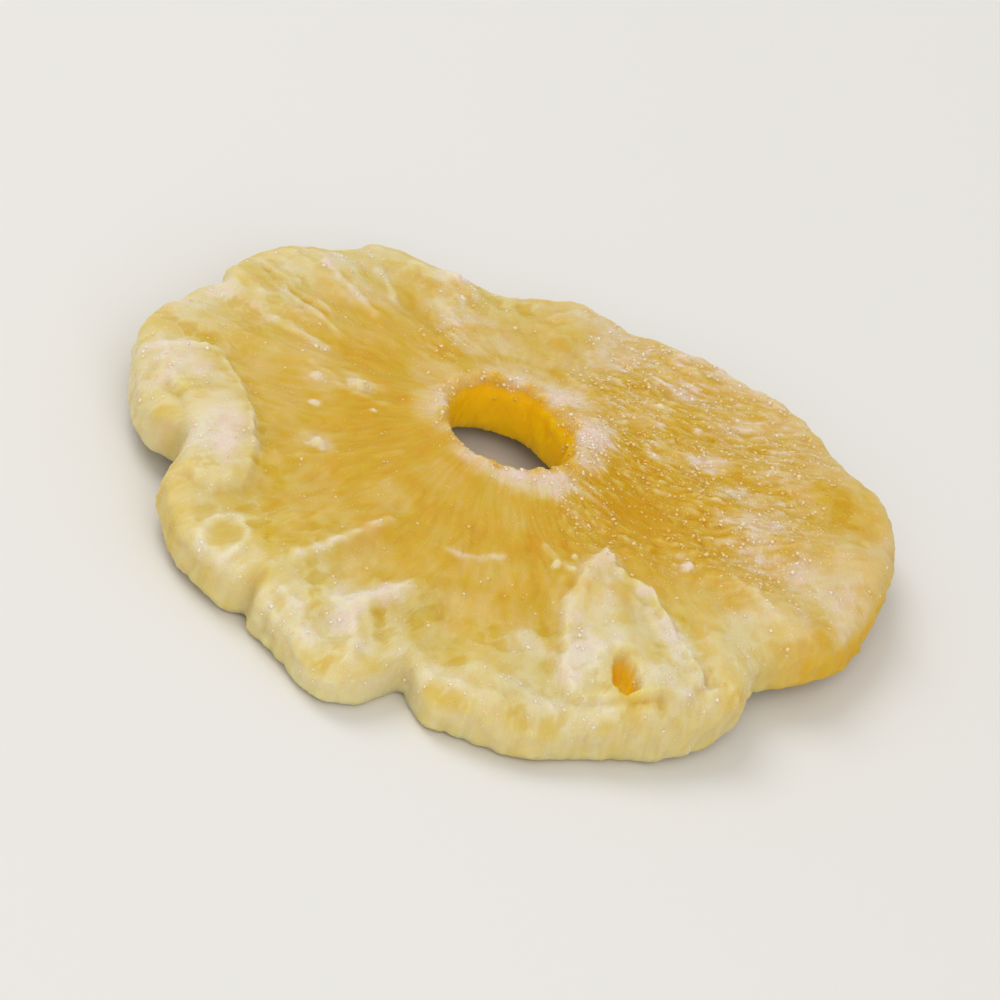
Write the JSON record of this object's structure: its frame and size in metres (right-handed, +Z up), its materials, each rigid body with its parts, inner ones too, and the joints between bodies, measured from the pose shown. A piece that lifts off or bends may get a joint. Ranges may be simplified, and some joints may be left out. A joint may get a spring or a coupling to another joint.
{
  "type": "dried pineapple ring",
  "caption": "Sugared dried pineapple ring: golden translucent flesh, a lobed pale rim, a cored hole off its middle, raised folds and an eye pit, gently arched.",
  "frame": {"origin": "the middle of the ring's outline, at the level of the table it rests on", "axes": "+Z up out of the shown face; -Y towards the front rim, which has the eye pit; +X to the right seen from above with the front rim towards the viewer"},
  "size_m": [0.0802, 0.0794, 0.0094],
  "materials": {
    "dried_flesh": "translucent golden dried flesh, paler towards the rim, satin, with a dusting of sugar"
  },
  "bodies": {
    "root": {"pineapple_ring": "dried_flesh"}
  },
  "joints": []
}
